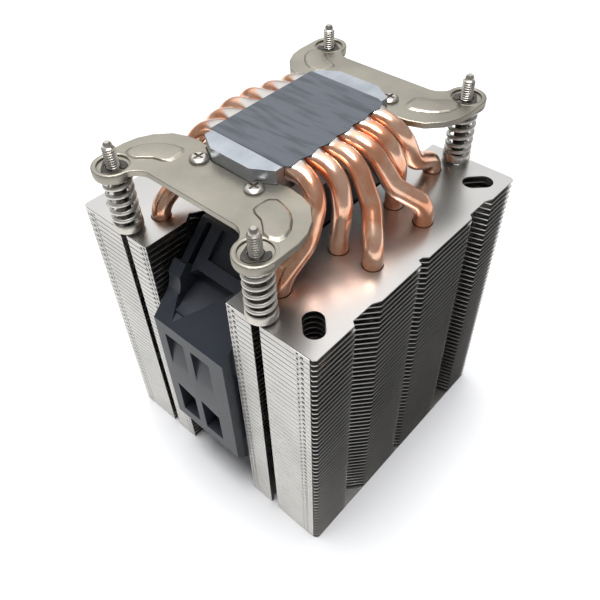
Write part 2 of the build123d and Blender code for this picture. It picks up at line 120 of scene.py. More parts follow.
def bevelled(piece: bpy.types.Object, width: float, segments: int = 2) -> bpy.types.Object:
    """Round the sharp edges of a piece by a bevel in millimetres and keep its flats flat."""
    bevel = piece.modifiers.new("edges", "BEVEL")
    bevel.width = width * MM
    bevel.segments = segments
    bevel.limit_method = "ANGLE"
    bevel.angle_limit = math.radians(BEVEL_ANGLE)
    bevel.harden_normals = True
    return piece


def outline_points(corners: Sequence[Pair], rounding: float, steps: int = 5) -> list[Vector]:
    """A closed outline with rounded corners.

    Args:
        corners: Corners in millimetres, in order.
        rounding: Radius of the corners in millimetres.
        steps: Pieces to each rounded corner.

    Returns:
        Points in metres in the XY plane.
    """
    least_turn, least_reach, most_share = 0.03, 1e-6, 0.45
    points = []
    count = len(corners)
    for index, corner in enumerate(corners):
        here = metres(*corner, 0)
        back = metres(*corners[index - 1], 0) - here
        ahead = metres(*corners[(index + 1) % count], 0) - here
        turn = math.pi - back.angle(ahead)
        reach = min(rounding * MM * math.tan(turn / 2), most_share * back.length, most_share * ahead.length)
        if turn < least_turn or reach < least_reach:
            points.append(here)
            continue
        start = here + back.normalized() * reach
        end = here + ahead.normalized() * reach
        for step in range(steps + 1):
            share = step / steps
            points.append((1 - share) ** 2 * start + 2 * share * (1 - share) * here + share**2 * end)
    return points


def circle_points(centre: Pair, radius: float, sides: int, stretch: float = 0.0,
                  turn: float = 0.0) -> list[Vector]:
    """A circle or an obround in the XY plane.

    Args:
        centre: Middle in millimetres.
        radius: Radius of the round ends in millimetres.
        sides: Number of points.
        stretch: Half of the straight part in millimetres.
        turn: Direction of the straight part in degrees.

    Returns:
        Points in metres.
    """
    rotate = Matrix.Rotation(math.radians(turn), 3, "Z")
    points = []
    for index in range(sides):
        angle = 2 * math.pi * (index + 0.5) / sides
        shift = math.copysign(stretch, math.cos(angle))
        local = metres(radius * math.cos(angle) + shift, radius * math.sin(angle), 0)
        points.append(rotate @ local + metres(*centre, 0))
    return points


def rectangle(left: float, right: float, low: float, high: float) -> list[Vector]:
    """A rectangle in the XY plane, from its sides in millimetres."""
    return [metres(left, low, 0), metres(right, low, 0), metres(right, high, 0), metres(left, high, 0)]


def mirrored(points: Sequence[Pair]) -> list[Pair]:
    """The points on the other side of the X axis, in reverse order."""
    return [(x, -y) for x, y in reversed(points)]


def add_plate(mesh: Mesh, outline: Sequence[Vector], holes: Iterable[Sequence[Vector]],
              thickness: float, place: Matrix | None = None) -> list[bmesh.types.BMVert]:
    """Add a flat plate with holes to a bmesh.

    Args:
        mesh: The bmesh to add to.
        outline: Outer edge in the XY plane, in metres.
        holes: Outlines of the holes.
        thickness: Thickness in metres, built up along +Z.
        place: Where the plate goes.

    Returns:
        The vertices of the plate.
    """
    edges = []
    for loop in (outline, *holes):
        verts = [mesh.verts.new(point) for point in loop]
        edges += [mesh.edges.new((verts[i - 1], verts[i])) for i in range(len(verts))]
    filled = bmesh.ops.triangle_fill(mesh, use_beauty=True, use_dissolve=False, edges=edges)
    faces = [item for item in filled["geom"] if isinstance(item, bmesh.types.BMFace)]
    flat = {vert for face in faces for vert in face.verts}
    raised = bmesh.ops.extrude_face_region(mesh, geom=faces, use_keep_orig=True)
    top = [item for item in raised["geom"] if isinstance(item, bmesh.types.BMVert)]
    bmesh.ops.translate(mesh, vec=(0, 0, thickness), verts=top)
    verts = list(flat) + top
    if place is not None:
        bmesh.ops.transform(mesh, matrix=place, verts=verts)
    return verts


def add_lathe(mesh: Mesh, profile: Sequence[Pair], centre: Vector, steps: int = 48,
              closed: bool = False) -> list[bmesh.types.BMVert]:
    """Add a turned shape about a vertical axis.

    Args:
        mesh: The bmesh to add to.
        profile: Radius and height of each point in millimetres.
        centre: Point on the axis at height zero.
        steps: Faces round the axis.
        closed: Whether the profile is a loop.

    Returns:
        The vertices of the shape.
    """
    verts = [mesh.verts.new(centre + metres(radius, 0, height)) for radius, height in profile]
    edges = [mesh.edges.new((verts[i], verts[i + 1])) for i in range(len(verts) - 1)]
    if closed:
        edges.append(mesh.edges.new((verts[-1], verts[0])))
    before = set(mesh.verts) - set(verts)
    bmesh.ops.spin(mesh, geom=verts + edges, angle=2 * math.pi, steps=steps, use_merge=True,
                   axis=(0, 0, 1), cent=centre)
    made = [vert for vert in mesh.verts if vert not in before]
    bmesh.ops.remove_doubles(mesh, verts=made, dist=WELD)
    return [vert for vert in mesh.verts if vert not in before]


def copy_of(node: str) -> Mesh:
    """A welded copy of a CAD node's mesh, with its flat faces joined."""
    mesh = bmesh.new()
    mesh.from_mesh(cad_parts[node].data)
    bmesh.ops.remove_doubles(mesh, verts=mesh.verts, dist=1e-6)
    bmesh.ops.dissolve_limit(mesh, angle_limit=math.radians(1.0), verts=mesh.verts, edges=mesh.edges)
    return mesh


# ---------------------------------------------------------------- shader nodes


def add_node(tree: Tree, kind: str, inputs: dict[int | str, object] | None = None,
             **settings: object) -> bpy.types.Node:
    """Add a node to a tree.

    Args:
        tree: The node tree.
        kind: Type of the node, without its "ShaderNode" prefix.
        inputs: For each input a value, or the socket that feeds it.
        settings: The node's own settings, made before its inputs.

    Returns:
        The new node.
    """
    node = tree.nodes.new(f"ShaderNode{kind}")
    for name, value in settings.items():
        setattr(node, name, value)
    for name, value in (inputs or {}).items():
        if isinstance(value, Socket):
            tree.links.new(value, node.inputs[name])
        else:
            node.inputs[name].default_value = value
    return node


def ramp(tree: Tree, value: Socket, limits: Sequence[object],
         results: Pair = (0.0, 1.0), soft: bool = False) -> Socket:
    """Map a value to another range.

    Args:
        tree: The node tree.
        value: The value to read.
        limits: Values, or sockets with them, at which the ramp starts and ends.
        results: What comes out there.
        soft: Whether the ramp eases in and out.

    Returns:
        The socket with the result.
    """
    inputs = {"Value": value, "From Min": limits[0], "From Max": limits[1], "To Min": results[0],
              "To Max": results[1]}
    kind = "SMOOTHSTEP" if soft else "LINEAR"
    return add_node(tree, "MapRange", inputs, interpolation_type=kind).outputs["Result"]


def add_socket(group: Tree, name: str, kind: str, value: float | None = None) -> None:
    """Add one input to a node group."""
    made = group.interface.new_socket(name, in_out="INPUT", socket_type=kind)
    if value is not None:
        made.default_value = value


class SurfaceGroups:
    """Shader node groups that several finishes share: fine grain and broad soft smudges."""

    def __init__(self) -> None:
        """Build each group once."""
        self.grain = self.noise_group("metal_grain", 900.0, 3.0)
        self.patches = self.noise_group("handling_patches", 60.0, 4.0, {"Low": 0.35, "High": 0.7})

    def noise_group(self, name: str, size: float, detail: float,
                    levels: dict[str, float] | None = None) -> Tree:
        """Noise on object coordinates: Size, Stretch and the levels in, a mask out.

        Args:
            name: Name of the group.
            size: Scale of the noise where a finish gives none.
            detail: Detail of the noise.
            levels: Low and High, the noise that the mask runs between, or None for bare noise.

        Returns:
            The node group.
        """
        group = bpy.data.node_groups.new(name, "ShaderNodeTree")
        add_socket(group, "Size", "NodeSocketFloat", size)
        add_socket(group, "Stretch", "NodeSocketVector")
        for level, value in (levels or {}).items():
            add_socket(group, level, "NodeSocketFloat", value)
        group.interface.new_socket("Mask", in_out="OUTPUT", socket_type="NodeSocketFloat")
        start, end = group.nodes.new("NodeGroupInput").outputs, group.nodes.new("NodeGroupOutput")
        place = add_node(group, "TexCoord").outputs["Object"]
        scaled = add_node(group, "VectorMath", {0: place, 1: start["Stretch"]}, operation="MULTIPLY")
        noise = {"Vector": scaled.outputs[0], "Scale": start["Size"], "Detail": detail}
        mask = add_node(group, "TexNoise", noise).outputs["Fac"]
        if levels:
            mask = ramp(group, mask, (start["Low"], start["High"]))
        group.links.new(mask, end.inputs["Mask"])
        return group


@dataclass(frozen=True)
class Finish:
    """A surface finish with grain and soft patches.

    Args:
        name: Name of the material.
        base: Main colour.
        worn: Colour in the patches.
        metallic: 1 for bare metal.
        roughness: Middle roughness.
        grained: Whether the surface has fine grain.
        spread: How far the grain moves the roughness.
        grain_size: Scale of the grain.
        stretch: Direction of the grain, as a factor along each axis.
        patch_size: Scale of the patches.
        patch_stretch: Direction of the patches, as a factor along each axis.
        bump: Strength of the grain's bump.
        bump_distance: Height of the bump in metres.
        patch_levels: Lowest and highest noise that the patches run between.
    """

    name: str
    base: Triple
    worn: Triple
    metallic: float = 1.0
    roughness: float = 0.35
    grained: bool = True
    spread: float = 0.12
    grain_size: float = 900.0
    stretch: Triple = (1.0, 1.0, 1.0)
    patch_size: float = 60.0
    patch_stretch: Triple = (1.0, 1.0, 1.0)
    bump: float = 0.15
    bump_distance: float = 0.00005
    patch_levels: Pair = (0.4, 0.7)

    def build(self, groups: SurfaceGroups) -> bpy.types.Material:
        """Make the material.

        Args:
            groups: The shared node groups.

        Returns:
            The finished material.
        """
        material = bpy.data.materials.new(self.name)
        material.use_nodes = True
        tree = material.node_tree
        shader = tree.nodes["Principled BSDF"]
        shader.inputs["Metallic"].default_value = self.metallic
        shader.inputs["Roughness"].default_value = self.roughness
        values = {"Size": self.patch_size, "Stretch": self.patch_stretch, "Low": self.patch_levels[0],
                  "High": self.patch_levels[1]}
        patches = add_node(tree, "Group", values, node_tree=groups.patches)
        colours = {"Factor": patches.outputs["Mask"], "A": (*self.base, 1.0), "B": (*self.worn, 1.0)}
        tint = add_node(tree, "Mix", colours, data_type="RGBA")
        tree.links.new(tint.outputs["Result"], shader.inputs["Base Color"])
        if self.grained:
            self.add_grain(tree, groups)
        return material

    def add_grain(self, tree: Tree, groups: SurfaceGroups) -> None:
        """Let the fine grain move the roughness and raise the surface."""
        least, most = 0.05, 1.0
        shader = tree.nodes["Principled BSDF"]
        size = {"Size": self.grain_size, "Stretch": self.stretch}
        grain = add_node(tree, "Group", size, node_tree=groups.grain).outputs["Mask"]
        gloss = max(self.roughness - self.spread, least), min(self.roughness + self.spread, most)
        tree.links.new(ramp(tree, grain, (0.0, 1.0), gloss), shader.inputs["Roughness"])
        relief = {"Height": grain, "Strength": self.bump, "Distance": self.bump_distance}
        tree.links.new(add_node(tree, "Bump", relief).outputs["Normal"], shader.inputs["Normal"])


@dataclass(frozen=True)
class PipeFinish(Finish):
    """Copper with a silvery painted reflection on the flat tops where the pipes leave the base.

    Args:
        painted_reflection: Colour of the painted reflection.
        painted_reflection_right: Place along X up to which the right-hand painted reflection is full and
            where it ends, in metres.
        painted_reflection_left: The same for the left-hand one.
        painted_reflection_depth: How far under the flats the painted reflection ends and from where up it is
            full, in metres.
    """

    # The silvery colour and where it lies are a painted reflection on the pipes' flat tops.
    painted_reflection: Triple = (0.62, 0.585, 0.55)
    painted_reflection_right: Pair = (0.0162, 0.0185)
    painted_reflection_left: Pair = (-0.0185, -0.0225)
    painted_reflection_depth: Pair = (0.0009, 0.0001)

    def build(self, groups: SurfaceGroups) -> bpy.types.Material:
        """Make the material.

        Args:
            groups: The shared node groups.

        Returns:
            The finished material.
        """
        material = super().build(groups)
        tree = material.node_tree
        colour = tree.nodes["Principled BSDF"].inputs["Base Color"]
        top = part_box("base_block")[1].z
        place = add_node(tree, "SeparateXYZ", {0: add_node(tree, "TexCoord").outputs["Object"]}).outputs
        # Painted reflection: a silvery tint on the flat tops just under the base's top, fading out along X.
        mask = ramp(tree, place["Z"], [top - depth for depth in self.painted_reflection_depth], soft=True)
        for full, end in (self.painted_reflection_right, self.painted_reflection_left):
            side = ramp(tree, place["X"], (end, full), soft=True)
            mask = add_node(tree, "Math", {0: mask, 1: side}, operation="MULTIPLY").outputs[0]
        colours = {"Factor": mask, "A": colour.links[0].from_socket, "B": (*self.painted_reflection, 1.0)}
        with_reflection = add_node(tree, "Mix", colours, data_type="RGBA")
        tree.links.new(with_reflection.outputs["Result"], colour)
        return material


class Finishes:
    """Every material of the cooler, built once."""

    def __init__(self) -> None:
        """Build the materials."""
        groups = SurfaceGroups()
        self.fin = Finish("fin_aluminium", (0.61, 0.60, 0.585), (0.55, 0.54, 0.53), roughness=0.28,
                          grained=False, patch_size=35).build(groups)
        # Fin folds: lighter than the fin aluminium as a painted highlight; their rougher grain is their own.
        self.fin_flange = Finish("fin_flange", (0.66, 0.65, 0.63), (0.58, 0.57, 0.55), roughness=0.5,
                                 grain_size=500, stretch=(0.2, 1, 1), patch_size=40, bump=0.08).build(groups)
        self.copper = PipeFinish("polished_copper", (0.98, 0.62, 0.45), (0.84, 0.38, 0.22), metallic=0.84,
                                 roughness=0.2, spread=0.07, grain_size=500, patch_size=130,
                                 patch_levels=(0.42, 0.6), bump=0.08).build(groups)
        self.nickel = Finish("nickel_plate", (0.38, 0.36, 0.305), (0.29, 0.272, 0.232), roughness=0.38,
                             grain_size=1500, patch_size=50, bump=0.25).build(groups)
        self.screw = Finish("plated_steel", (0.62, 0.59, 0.54), (0.42, 0.40, 0.37), roughness=0.3,
                            grain_size=1200, patch_size=300).build(groups)
        self.spring = Finish("spring_wire", (0.68, 0.66, 0.62), (0.58, 0.56, 0.53), roughness=0.4,
                             grain_size=1200, patch_size=300).build(groups)
        # Black oxide is the clips' own colour; on the sleeve inside each spring it is painted shade.
        self.oxide_and_shade = Finish("black_oxide_and_painted_shade", (0.07, 0.066, 0.06), (0.11, 0.10, 0.09), roughness=0.42,
                            grain_size=1200, patch_size=300).build(groups)
        self.milled = Finish("milled_aluminium", (0.47, 0.50, 0.54), (0.38, 0.41, 0.45), roughness=0.4,
                             grain_size=900, stretch=(1.0, 0.1, 0.1), patch_size=120, bump=0.5,
                             bump_distance=0.0001).build(groups)
        self.compound = Finish("thermal_compound", (0.058, 0.067, 0.084), (0.098, 0.110, 0.132),
                               metallic=0.0, roughness=0.55, spread=0.12, grain_size=420,
                               stretch=(0.1, 1.0, 1.0), patch_size=380, patch_stretch=(0.16, 1.0, 1.0),
                               patch_levels=(0.36, 0.52), bump=0.6, bump_distance=0.0003).build(groups)
        self.casing = Finish("casing_plastic", (0.019, 0.023, 0.033), (0.027, 0.032, 0.045), metallic=0.0,
                             roughness=0.42, spread=0.06, grain_size=2500, patch_size=40,
                             bump=0.2).build(groups)
        self.rotor = Finish("rotor_plastic", (0.02, 0.02, 0.023), (0.03, 0.03, 0.034), metallic=0.0,
                            roughness=0.45, spread=0.05, grain_size=2500, patch_size=40,
                            bump=0.2).build(groups)


# ---------------------------------------------------------------- fin stacks


@dataclass
class FinStack:
    """One stack of thin fins, drawn for the right-hand side and mirrored for the left.

    Sizes are in millimetres. A notch is given by the depth and the place of each corner, and a window by
    its middle, half its width and its lower edge.
    """

    side: Side
    finishes: Finishes
    count: int = 49
    thickness: float = 0.4
    clip: float = 0.9
    slot: Pair = (26.3, 29.7)
    slot_depth: float = 1.0
    passage: Corners = ((25.0, -47.6), (25.4, -44.6), (28.0, -43.4), (30.6, -44.6), (31.0, -47.6))
    inner_notch: Corners = ((0.0, 34.0), (2.6, 30.5), (0.0, 27.0))
    top_notches: Corners = (
        (0.0, -33.9), (1.4, -32.8), (1.4, -24.7), (0.0, -22.0), (0.0, -3.4), (1.7, -2.4), (1.4, -0.6),
        (0.0, 0.6), (0.0, 23.4), (1.3, 24.6), (1.3, 33.2), (0.0, 35.8),
    )
    outer_notches: Corners = (
        (0.0, -33.4), (5.7, -28.4), (0.0, -22.0), (0.0, -3.4), (2.2, -2.2), (1.8, -0.6), (0.0, 0.9),
        (0.0, 24.0), (5.4, 34.4), (0.0, 36.0),
    )
    pipe_holes: Corners = (
        (25.2, 37.0), (26.6, 13.5), (38.2, 12.5), (25.2, -37.0), (26.6, -13.5), (38.2, -12.5),
    )
    pipe_hole_radius: float = 3.25
    hole_sides: int = 12
    top_hole_sides: int = 32
    access_place: float = 40.5
    access_radius: float = 3.15
    access_stretch: float = 1.85
    flange_thickness: float = 0.25
    flange_gap: float = 0.14
    flange_lean: float = 0.12
    flange_end: float = 1.6
    flange_lap: float = 0.2
    flange_inset: float = 0.02
    window_height: float = 0.95
    inner_windows: tuple[Triple, ...] = ((18.0, 0.5, 0.75), (19.6, 0.5, 0.15))
    outer_windows: tuple[Triple, ...] = ((42.9, 0.35, 0.75), (44.5, 0.5, 0.15))
    inner: float = field(init=False)
    outer: float = field(init=False)
    depth: float = field(init=False)
    height: float = field(init=False)

    def __post_init__(self) -> None:
        """Read the size of the stack from the frame."""
        low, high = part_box("fin_stack_right")
        self.inner, self.outer = low.x / MM, high.x / MM
        self.depth, self.height = high.y / MM, high.z / MM

    @property
    def pitch(self) -> float:
        """Height from one fin to the next."""
        return (self.height - self.thickness) / (self.count - 1)

    def outline(self, below_top: int) -> list[Vector]:
        """Edge of one fin.

        Args:
            below_top: How many fins lie over it: the top fin has shallow notches and the lowest none.

        Returns:
            The outline in metres.
        """
        left, right = self.slot
        front = [
            (self.inner, -self.depth), (left, -self.depth), (left, self.slot_depth - self.depth),
            *self.passage, (right, self.slot_depth - self.depth), (right, -self.depth),
            (self.outer - self.clip, -self.depth), (self.outer, self.clip - self.depth),
        ]
        notches: Corners = ()
        if below_top == 0:
            notches = self.top_notches
        elif below_top < self.count - 1:
            notches = self.outer_notches
        side = [(self.outer - inset, y) for inset, y in notches]
        inner = [(self.inner + inset, y) for inset, y in self.inner_notch]
        corners = front + side + mirrored(front) + inner + mirrored(inner)
        return [metres(x, y, 0) for x, y in corners]

    def holes(self, sides: int) -> list[list[Vector]]:
        """Holes of one fin: pipe passages and the two long screwdriver holes."""
        pipes = [circle_points(place, self.pipe_hole_radius, sides) for place in self.pipe_holes]
        access = [
            circle_points((self.access_place, along * self.access_place), self.access_radius, sides,
                          stretch=self.access_stretch, turn=along * 45)
            for along in (-1, 1)
        ]
        return pipes + access

    def add_fin(self, mesh: Mesh, index: int) -> None:
        """Add one fin, counted from the bottom."""
        below_top = self.count - 1 - index
        sides = self.top_hole_sides if below_top == 0 else self.hole_sides
        place = Matrix.Translation(metres(0, 0, index * self.pitch))
        add_plate(mesh, self.outline(below_top), self.holes(sides), self.thickness * MM, place)

    def add_flange(self, mesh: Mesh, index: int, along: int) -> None:
        """Add the folded flange strips of one fin at the front or the rear.

        Args:
            mesh: The bmesh to add to.
            index: Fin that the flange hangs from.
            along: -1 for the front, 1 for the rear.
        """
        tall = self.pitch - self.flange_gap
        foot = index * self.pitch - tall + self.flange_lap
        stand = Matrix.Translation(metres(0, along * (self.depth - self.flange_inset), foot))
        upright = Matrix.Rotation(math.radians(90), 4, "X")
        lean = Matrix.Rotation(math.atan2(self.flange_lean, tall), 4, "X")
        strips = (
            (self.inner, self.slot[0], self.inner_windows),
            (self.slot[1], self.outer - self.flange_end, self.outer_windows),
        )
        for left, right, windows in strips:
            holes = [
                rectangle(middle - half, middle + half, low, low + self.window_height)
                for middle, half, low in windows
            ]
            verts = add_plate(mesh, rectangle(left, right, 0, tall), holes, self.flange_thickness * MM)
            bmesh.ops.transform(mesh, matrix=stand @ upright @ lean, verts=verts)
            if along > 0:
                for vert in verts:
                    vert.co.y = 2 * self.depth * MM - vert.co.y

    def build(self) -> None:
        """Build the stack and let it stand for its CAD node."""
        name = "right" if self.side is Side.PLUS else "left"
        fins, flanges = bmesh.new(), bmesh.new()
        for index in range(self.count):
            self.add_fin(fins, index)
            if index > 0:
                for along in (-1, 1):
                    self.add_flange(flanges, index, along)
        for mesh in (fins, flanges):
            if self.side is Side.MINUS:
                bmesh.ops.scale(mesh, vec=(-1, 1, 1), verts=mesh.verts)
        plates = finish_mesh(fins, f"fins_{name}", self.finishes.fin, ROOT)
        folds = finish_mesh(flanges, f"fin_folds_{name}", self.finishes.fin_flange, ROOT)
        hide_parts(f"fin_stack_{name}")
        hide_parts(f"fin_flanges_{name}")
        log.info("fin stack %s: %d fins", name, self.count)


# ---------------------------------------------------------------- heat pipes


@dataclass
class HeatPipe:
    """One U-shaped copper pipe with a pressed flat land. Sizes are in millimetres."""

    number: int
    lane: float
    hole: Pair
    rise: float
    share: Triple
    finishes: Finishes
    radius: float = 3.0
    roundness: int = 6
    foot: float = 2.0
    first_bend: float = 23.6
    bend_radii: Triple = (9.0, 9.0, 7.0)
    bend_steps: int = 9
    land_start: int = 10
    land_half_width: float = 3.45
    land_right: Pair = (14.0, 17.4)
    land_left: Pair = (14.0, 20.5)
    land_power: float = 0.3
    belly_power: float = 0.85
    belly_depth_power: float = 0.95

    def corners(self) -> list[Vector]:
        """Corners of the route of one leg, from the middle of the base outwards."""
        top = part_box("base_block")[1].z / MM
        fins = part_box("fin_stack_right")[1].z / MM
        start = Vector((0, self.lane, top - self.radius))
        first = Vector((self.first_bend, self.lane, top - self.radius))
        last = Vector((*self.hole, fins + self.rise))
        way = last - first
        middle = first + Vector([part * length for part, length in zip(self.share, way)])
        return [start, first, middle, last, Vector((*self.hole, self.foot))]

    def route(self) -> list[Vector]:
        """Points of one leg in millimetres, with round bends and close points on the pressed part."""
        corners = self.corners()
        points = [corners[0]]
        for index, radius in enumerate(self.bend_radii, start=1):
            here = corners[index]
            back, ahead = (corners[index - 1] - here), (corners[index + 1] - here)
            half = (math.pi - back.angle(ahead)) / 2
            reach = radius * math.tan(half)
            start, end = here + back.normalized() * reach, here + ahead.normalized() * reach
            if index == 1:
                halves = range(2 * self.land_start, int(2 * start.x) - 1)
                points += [Vector((half_step / 2, start.y, start.z)) for half_step in halves]
            middle = here + (back.normalized() + ahead.normalized()).normalized() * radius / math.cos(half)
            for step in range(self.bend_steps + 1):
                share = step / self.bend_steps
                spoke = (math.sin((1 - share) * 2 * half) * (start - middle)
                         + math.sin(share * 2 * half) * (end - middle)) / math.sin(2 * half)
                points.append(middle + spoke)
        return points + [corners[-1]]

    def flatten(self, mesh: Mesh) -> None:
        """Press the middle of the pipe to a flat-topped section."""
        axis_z = self.corners()[0].z
        for vert in mesh.verts:
            x, y, z = vert.co / MM
            near, far = self.land_right if x > 0 else self.land_left
            share = min(max((far - abs(x)) / (far - near), 0.0), 1.0)
            if share == 0.0:
                continue
            share = share * share * (3 - 2 * share)
            across, up = (y - self.lane) / self.radius, (z - axis_z) / self.radius
            power = self.land_power if up > 0 else self.belly_power
            flat_y = math.copysign(abs(across) ** power, across) * self.land_half_width
            lift = min(abs(up) ** power, 1.0) if up > 0 else -(abs(up) ** self.belly_depth_power)
            flat_z = lift * self.radius
            vert.co.y = (y + share * (self.lane + flat_y - y)) * MM
            vert.co.z = (z + share * (axis_z + flat_z - z)) * MM

    def build(self) -> None:
        """Build the pipe and let it stand for its CAD node."""
        leg = self.route()
        path = [Vector((-point.x, point.y, point.z)) for point in reversed(leg[1:])] + leg
        curve = bpy.data.curves.new(f"pipe_route_{self.number}", "CURVE")
        curve.dimensions = "3D"
        curve.bevel_depth = self.radius * MM
        curve.bevel_resolution = self.roundness
        curve.use_fill_caps = True
        spline = curve.splines.new("POLY")
        spline.points.add(len(path) - 1)
        for point, place in zip(spline.points, path):
            point.co = (*(place * MM), 1.0)
        holder = bpy.data.objects.new("route", curve)
        bpy.context.scene.collection.objects.link(holder)
        tube = bpy.data.meshes.new_from_object(holder.evaluated_get(bpy.context.evaluated_depsgraph_get()))
        mesh = bmesh.new()
        mesh.from_mesh(tube)
        bpy.data.objects.remove(holder)
        bpy.data.meshes.remove(tube)
        self.flatten(mesh)
        piece = finish_mesh(mesh, f"copper_pipe_{self.number}", self.finishes.copper, ROOT)
        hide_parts(f"heat_pipe_{self.number}")


# ---------------------------------------------------------------- base, compound and brackets


@dataclass
class Base:
    """Aluminium base block with the skin of compound on its contact face. Sizes are in millimetres."""

    finishes: Finishes
    block_bevel: float = 0.25
    skin: float = 0.14
    skin_bevel: float = 0.06
    skin_rounding: float = 0.6
    skin_edge: Corners = (
        (-14.7, -21.4), (13.6, -22.0), (15.6, -20.6), (15.2, -16.6), (16.2, -13.0), (15.4, -9.2),
        (16.3, -5.4), (15.5, -1.6), (16.3, 2.6), (15.4, 6.0), (16.2, 10.4), (15.3, 13.8), (15.8, 18.0),
        (14.6, 20.8), (12.2, 22.0), (-14.7, 22.3),
    )

    def build_block(self) -> None:
        """Bevelled copy of the block."""
        block = finish_mesh(copy_of("base_block"), "base", self.finishes.milled, ROOT)
        bevelled(block, self.block_bevel)
        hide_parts("base_block")

    def build_skin(self) -> None:
        """Thin irregular patch of compound over the pipes and the block."""
        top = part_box("base_block")[1].z
        mesh = bmesh.new()
        outline = outline_points(self.skin_edge, self.skin_rounding)
        add_plate(mesh, outline, [], self.skin * MM, Matrix.Translation((0, 0, top)))
        skin = finish_mesh(mesh, "thermal_compound", self.finishes.compound, ROOT)
        bevelled(skin, self.skin_bevel)

    def build(self) -> None:
        """Build both."""
        self.build_block()
        self.build_skin()


@dataclass
class Bracket:
    """Stamped nickel-plated bracket with two cup-shaped ears and a raised pad by each.

    Sizes are in millimetres. Each ring of a pad is given by its inset and height, and the profile of a cup
    by radius and height: first over the bracket's lower face, then over its upper one.
    """

    side: Side
    finishes: Finishes
    thickness: float = 2.0
    bevel: float = 0.35
    inner_edge: Corners = (
        (0.0, 28.3), (7.5, 28.3), (13.95, 24.55), (13.95, 23.9), (15.9, 23.5), (18.0, 23.2), (22.0, 23.7),
        (27.0, 25.6), (31.2, 29.9), (33.4, 34.2), (34.2, 38.5), (34.2, 42.0), (34.2, 47.0),
    )
    outer_edge: Corners = ((21.4, 46.1), (20.2, 44.8), (18.6, 43.8), (17.0, 43.4), (0.0, 43.4))
    ear: Pair = (28.0, 47.0)
    ear_radius: float = 6.2
    ear_hole: float = 4.6
    cup_under: Corners = ((2.3, -1.3), (5.5, -1.3), (6.0, -1.0), (6.2, -0.4))
    cup_rim: Corners = (
        (6.2, -0.35), (5.95, -0.05), (5.6, 0.05), (5.05, 0.05), (4.8, -0.15), (4.7, -0.7), (4.4, -0.8),
        (2.3, -0.8),
    )
    pad_edge: Corners = (
        (16.0, 34.0), (16.3, 30.6), (18.3, 28.9), (21.8, 29.7), (24.8, 30.9), (27.3, 32.9), (29.6, 35.9),
        (30.6, 39.0), (30.0, 41.4), (27.6, 42.2), (25.2, 41.7), (23.2, 39.9), (21.0, 38.2), (18.0, 37.3),
        (16.2, 36.2),
    )
    pad_rounding: float = 1.6
    pad_profile: Corners = ((0.0, -0.2), (0.0, 0.0), (0.25, 0.12), (0.55, 0.32), (0.85, 0.46), (1.2, 0.5))

    def half_outline(self) -> list[Pair]:
        """Edge of the right half of the rear bracket, from the middle of its inner edge to its outer edge."""
        centre_x, centre_y = self.ear
        angles = [math.radians(degrees) for degrees in range(15, 181, 15)]
        ear = [
            (centre_x + self.ear_radius * math.cos(angle), centre_y + self.ear_radius * math.sin(angle))
            for angle in angles
        ]
        return [*self.inner_edge, *ear, *self.outer_edge]

    def build(self) -> None:
        """Build the bracket and let it stand for its CAD node."""
        name = "rear" if self.side is Side.PLUS else "front"
        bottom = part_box("bracket_rear")[1].z / MM - self.thickness
        half = self.half_outline()
        whole = half + [(-x, y) for x, y in reversed(half[1:-1])]
        mesh = bmesh.new()
        ears = [circle_points((across * self.ear[0], self.ear[1]), self.ear_hole, 40) for across in (-1, 1)]
        add_plate(mesh, [metres(x, y, 0) for x, y in whole], ears, self.thickness * MM,
                  Matrix.Translation(metres(0, 0, bottom)))
        self.mirror(mesh)
        plate = finish_mesh(mesh, f"bracket_plate_{name}", self.finishes.nickel, ROOT)
        bevelled(plate, self.bevel, 3)
        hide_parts(f"bracket_{name}")
        self.build_ears(name, bottom)
        self.build_pads(name, bottom + self.thickness)
        log.info("bracket %s", name)

    def mirror(self, mesh: Mesh) -> None:
        """Turn the rear bracket's mesh into the front one's where it is the front."""
        if self.side is Side.MINUS:
            bmesh.ops.scale(mesh, vec=(1, -1, 1), verts=mesh.verts)

    def build_ears(self, name: str, bottom: float) -> None:
        """Cup with a raised rim at each ear."""
        top = bottom + self.thickness
        mesh = bmesh.new()
        profile = [(radius, bottom + height) for radius, height in self.cup_under]
        profile += [(radius, top + height) for radius, height in self.cup_rim]
        for across in (-1, 1):
            add_lathe(mesh, profile, metres(across * self.ear[0], self.ear[1], 0), closed=True)
        self.mirror(mesh)
        cups = finish_mesh(mesh, f"bracket_cups_{name}", self.finishes.nickel, ROOT, smooth=60)

    def build_pads(self, name: str, top: float) -> None:
        """Embossed pads with soft shoulders."""
        mesh = bmesh.new()
        for across in (-1, 1):
            edge = outline_points([(across * x, y) for x, y in self.pad_edge], self.pad_rounding, 4)
            centre = sum(edge, Vector()) / len(edge)
            reach = sum((point - centre).length for point in edge) / len(edge)
            rings = []
            for inset, height in self.pad_profile:
                share = inset * MM / reach
                lift = metres(0, 0, top + height)
                rings.append([mesh.verts.new(point.lerp(centre, share) + lift) for point in edge])
            for lower, upper in zip(rings, rings[1:]):
                for i in range(len(edge)):
                    mesh.faces.new((lower[i - 1], lower[i], upper[i], upper[i - 1]))
            mesh.faces.new(rings[-1])
        self.mirror(mesh)
        pads = finish_mesh(mesh, f"bracket_pads_{name}", self.finishes.nickel, ROOT, smooth=60)


# ---------------------------------------------------------------- screws and springs


@dataclass(frozen=True)
class CrossRecess:
    """Cross-shaped recess cut in a screw head. Sizes are in millimetres."""

    reach: float
    width: float
    depth: float

    def outline(self) -> list[Vector]:
        """The cross in the XY plane, about the origin."""
        half, reach = self.width / 2, self.reach
        quarter = [(reach, -half), (reach, half), (half, half), (half, reach)]
        points = []
        for turn in range(4):
            spin = Matrix.Rotation(turn * math.pi / 2, 3, "Z")
            points += [spin @ metres(x, y, 0) for x, y in quarter[:3]]
        return points


